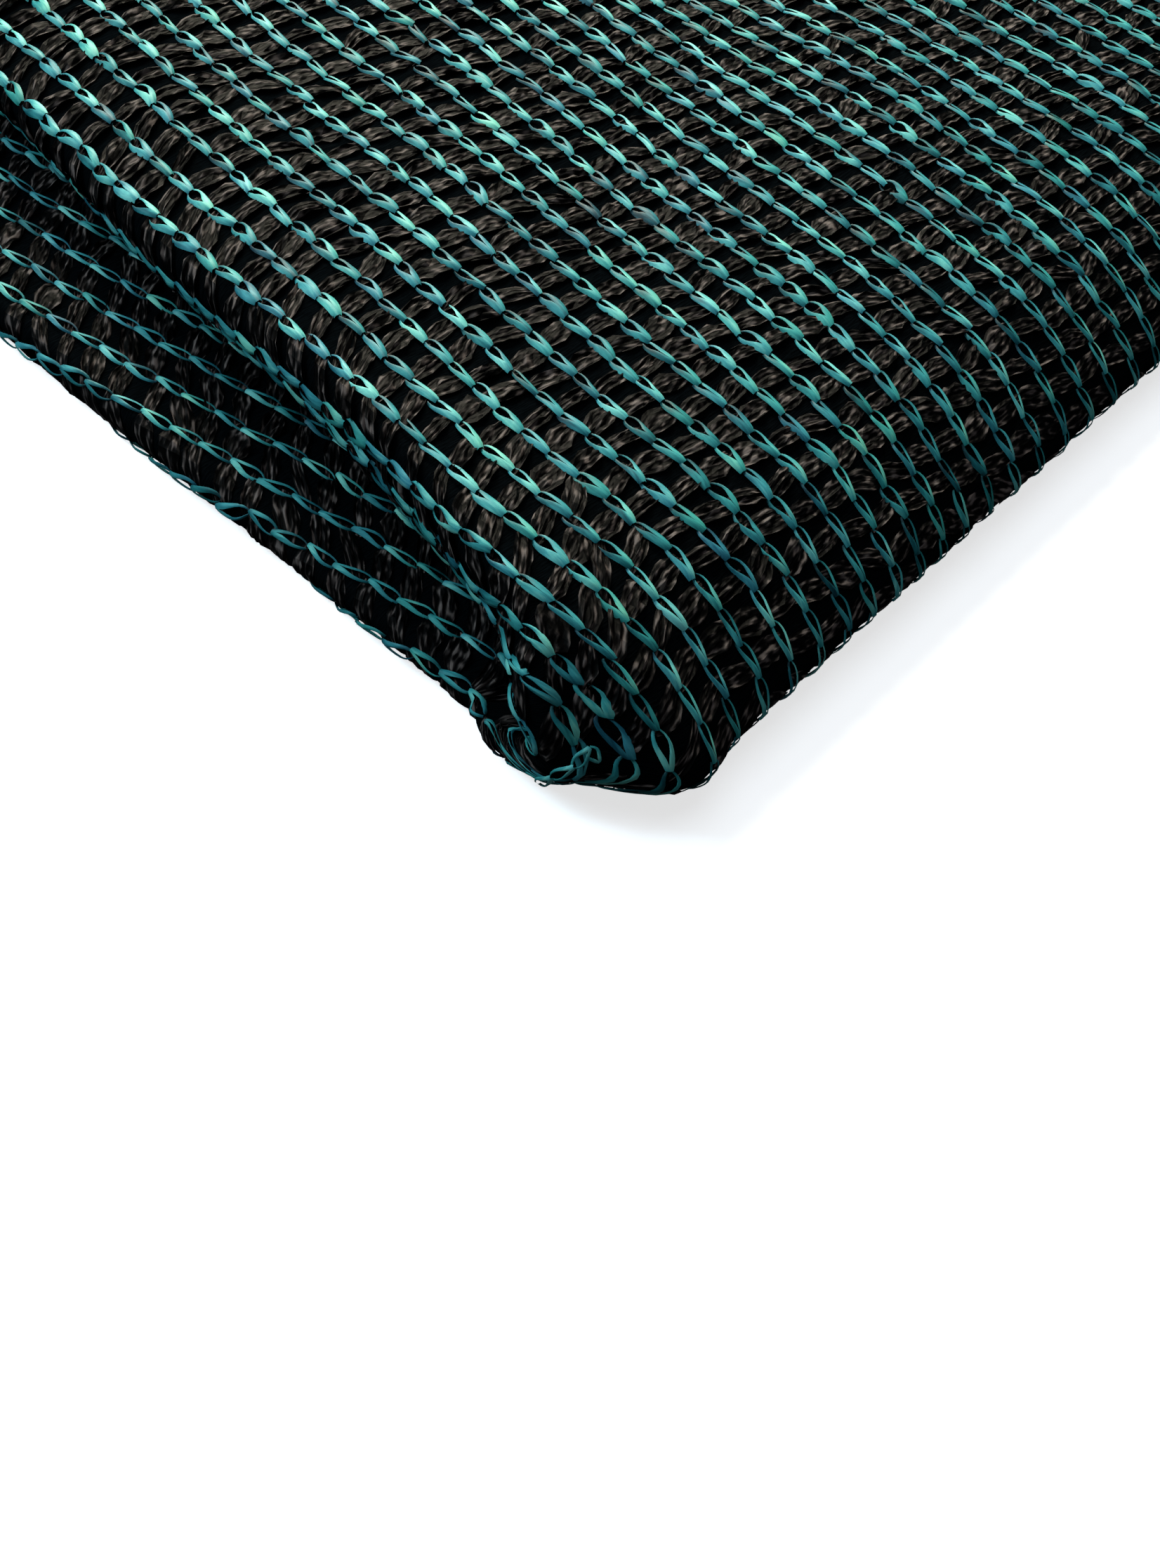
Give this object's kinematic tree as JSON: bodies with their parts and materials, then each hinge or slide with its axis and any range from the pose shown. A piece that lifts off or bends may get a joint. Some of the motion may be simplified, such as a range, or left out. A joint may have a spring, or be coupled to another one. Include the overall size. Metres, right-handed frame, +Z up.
{
  "type": "folded shade netting",
  "caption": "Cut length of knitted mesh netting, folded along its rows and again across them, lying flat as a pack of soft layers.",
  "frame": {"origin": "middle of the pack's footprint, on the surface it lies on", "axes": "+Z up from the surface, +Y along the stitch rows of the top layer and away from the second fold, +X across the rows and away from the rolled edge"},
  "size_m": [0.1912, 0.185, 0.0157],
  "materials": {
    "netting": "turquoise knitted plastic tape, half gloss",
    "tape": "black crumpled plastic tape between the stitch rows, half gloss"
  },
  "bodies": {
    "root": {"netting": "netting"}
  },
  "joints": []
}
